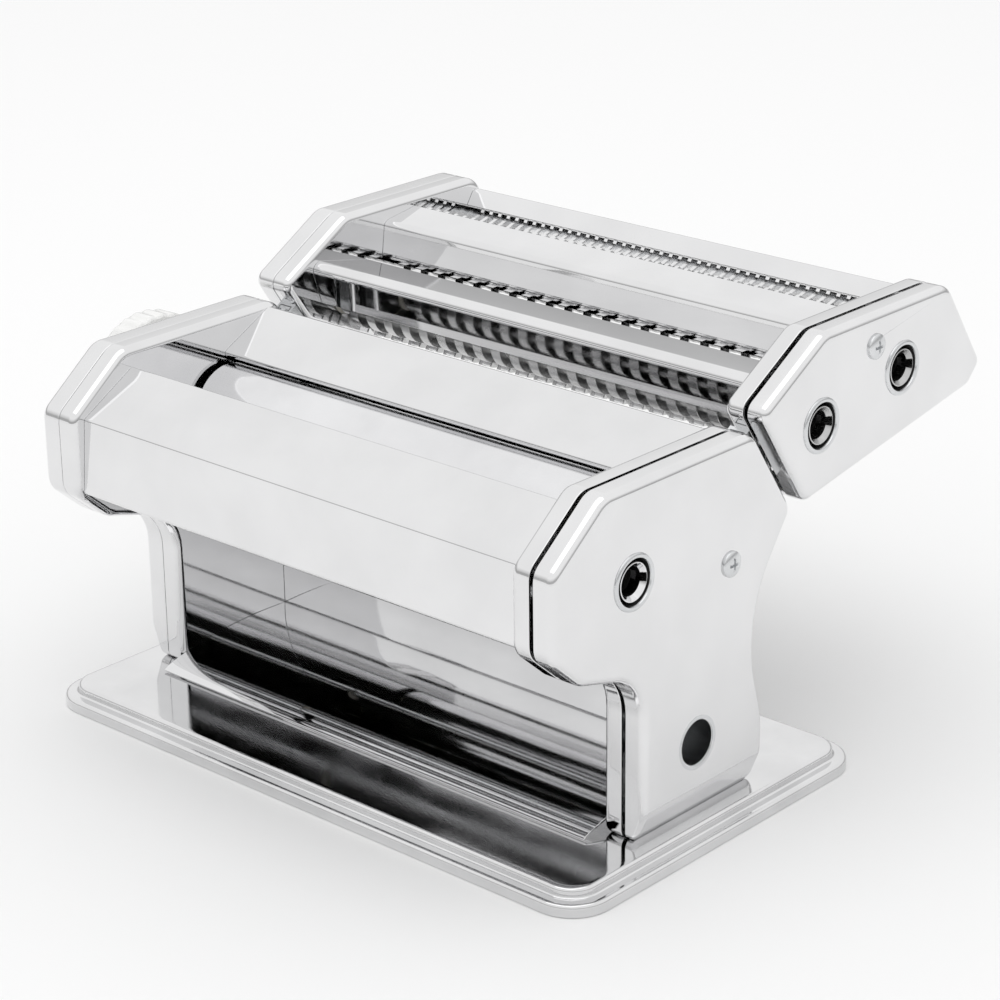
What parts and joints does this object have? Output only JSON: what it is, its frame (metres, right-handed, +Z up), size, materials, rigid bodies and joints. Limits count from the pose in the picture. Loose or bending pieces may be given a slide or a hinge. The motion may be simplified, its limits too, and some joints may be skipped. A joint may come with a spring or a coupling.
{
  "type": "pasta roller machine",
  "caption": "Hand-cranked pasta roller machine with a thickness knob, a pair of smooth rollers and a slide-on cutter head for wide and fine noodles.",
  "frame": {"origin": "centre of the base, on the plane it stands on", "axes": "+X along the rollers towards the crank side, +Y towards the cutter head, +Z up"},
  "size_m": [0.2453, 0.2055, 0.1428],
  "materials": {
    "polished_steel": "mirror-polished stainless sheet",
    "roller_steel": "polished, fine turning marks",
    "machined_steel": "zinc-bright machined steel",
    "gear_steel": "cut steel, lightly oiled",
    "nylon": "moulded nylon",
    "rubber": "matt",
    "knob_plastic": "smooth pale moulding"
  },
  "bodies": {
    "frame": {"base_tray": "polished_steel", "rubber_feet": "rubber", "base_screws": "machined_steel", "inner_plate_left": "polished_steel", "inner_plate_right": "polished_steel", "side_cover_left": "polished_steel", "side_cover_right": "polished_steel", "front_panel": "polished_steel", "rear_panel": "polished_steel", "back_wall": "polished_steel", "chute": "polished_steel", "tie_rods": "machined_steel", "cover_posts": "machined_steel", "cover_screws": "machined_steel", "drive_bushes": "nylon", "crank_ring": "machined_steel", "clamp_sleeve": "machined_steel", "block_guides": "machined_steel", "front_scraper": "machined_steel", "dock_rails": "machined_steel", "knob_bush": "nylon", "dial_plate": "machined_steel"},
    "drive_roller": {"drive_roller": "roller_steel", "drive_gear": "gear_steel"},
    "roller_carrier": {"bearing_block_left": "nylon", "bearing_block_right": "nylon", "block_bar": "machined_steel", "cam_follower": "machined_steel", "rear_scraper": "machined_steel"},
    "adjustable_roller": {"adjustable_roller": "roller_steel", "adjustable_gear": "gear_steel"},
    "knob_spindle": {"knob_shaft": "machined_steel", "scroll_cam": "machined_steel", "knob_spring": "machined_steel"},
    "knob": {"thickness_knob": "knob_plastic", "knob_cap": "polished_steel", "detent_pin": "machined_steel"},
    "cutter_head": {"cutter_plate_left": "polished_steel", "cutter_plate_right": "polished_steel", "cutter_cover_left": "polished_steel", "cutter_cover_right": "polished_steel", "cutter_front_panel": "polished_steel", "cutter_middle_panel": "polished_steel", "cutter_rear_panel": "polished_steel", "cutter_tie_rods": "machined_steel", "cutter_posts": "machined_steel", "cutter_screws": "machined_steel", "cutter_bushes": "nylon", "cutter_crank_rings": "machined_steel", "dock_channels": "machined_steel", "wide_combs": "machined_steel", "fine_combs": "machined_steel"},
    "wide_driven": {"wide_driven_cutter": "roller_steel", "wide_driven_gear": "gear_steel"},
    "wide_idle": {"wide_idle_cutter": "roller_steel", "wide_idle_gear": "gear_steel"},
    "fine_driven": {"fine_driven_cutter": "roller_steel", "fine_driven_gear": "gear_steel"},
    "fine_idle": {"fine_idle_cutter": "roller_steel", "fine_idle_gear": "gear_steel"}
  },
  "joints": [
    {"name": "roller_crank", "type": "hinge", "parent": "frame", "child": "drive_roller", "pos_m": [0, -0.035, 0.0923], "axis": [1, 0, 0], "continuous": true},
    {"name": "adjustable_spin", "type": "hinge", "parent": "roller_carrier", "child": "adjustable_roller", "pos_m": [0, -0.0063, 0.0923], "axis": [1, 0, 0], "continuous": true},
    {"name": "thickness_turn", "type": "hinge", "parent": "frame", "child": "knob_spindle", "pos_m": [-0.1066, -0.0063, 0.0923], "axis": [-1, 0, 0], "range_deg": [0, 270]},
    {"name": "roller_gap", "type": "slide", "parent": "frame", "child": "roller_carrier", "axis": [0, 1, 0], "range_m": [0, 0.0027]},
    {"name": "knob_pull", "type": "slide", "parent": "knob_spindle", "child": "knob", "axis": [-1, 0, 0], "range_m": [0, 0.004], "stiffness_N_per_m": 900, "springref_m": -0.004, "deforming": ["knob_spring"]},
    {"name": "cutter_slide", "type": "slide", "parent": "frame", "child": "cutter_head", "axis": [0, -0.554, 0.8325], "range_m": [0, 0.036]},
    {"name": "wide_crank", "type": "hinge", "parent": "cutter_head", "child": "wide_driven", "pos_m": [0, 0.0515, 0.1147], "axis": [1, 0, 0], "continuous": true},
    {"name": "wide_mesh", "type": "hinge", "parent": "cutter_head", "child": "wide_idle", "pos_m": [0, 0.06475, 0.10705], "axis": [1, 0, 0], "continuous": true},
    {"name": "fine_crank", "type": "hinge", "parent": "cutter_head", "child": "fine_driven", "pos_m": [0, 0.0925, 0.1221], "axis": [1, 0, 0], "continuous": true},
    {"name": "fine_mesh", "type": "hinge", "parent": "cutter_head", "child": "fine_idle", "pos_m": [0, 0.1078, 0.1221], "axis": [1, 0, 0], "continuous": true}
  ],
  "couplings": [
    {"joint": "adjustable_spin", "follows": "roller_crank", "ratio": -1},
    {"joint": "thickness_turn", "follows": "roller_gap", "rad_per_m": 1745.3},
    {"joint": "wide_mesh", "follows": "wide_crank", "ratio": -1},
    {"joint": "fine_mesh", "follows": "fine_crank", "ratio": -1}
  ]
}
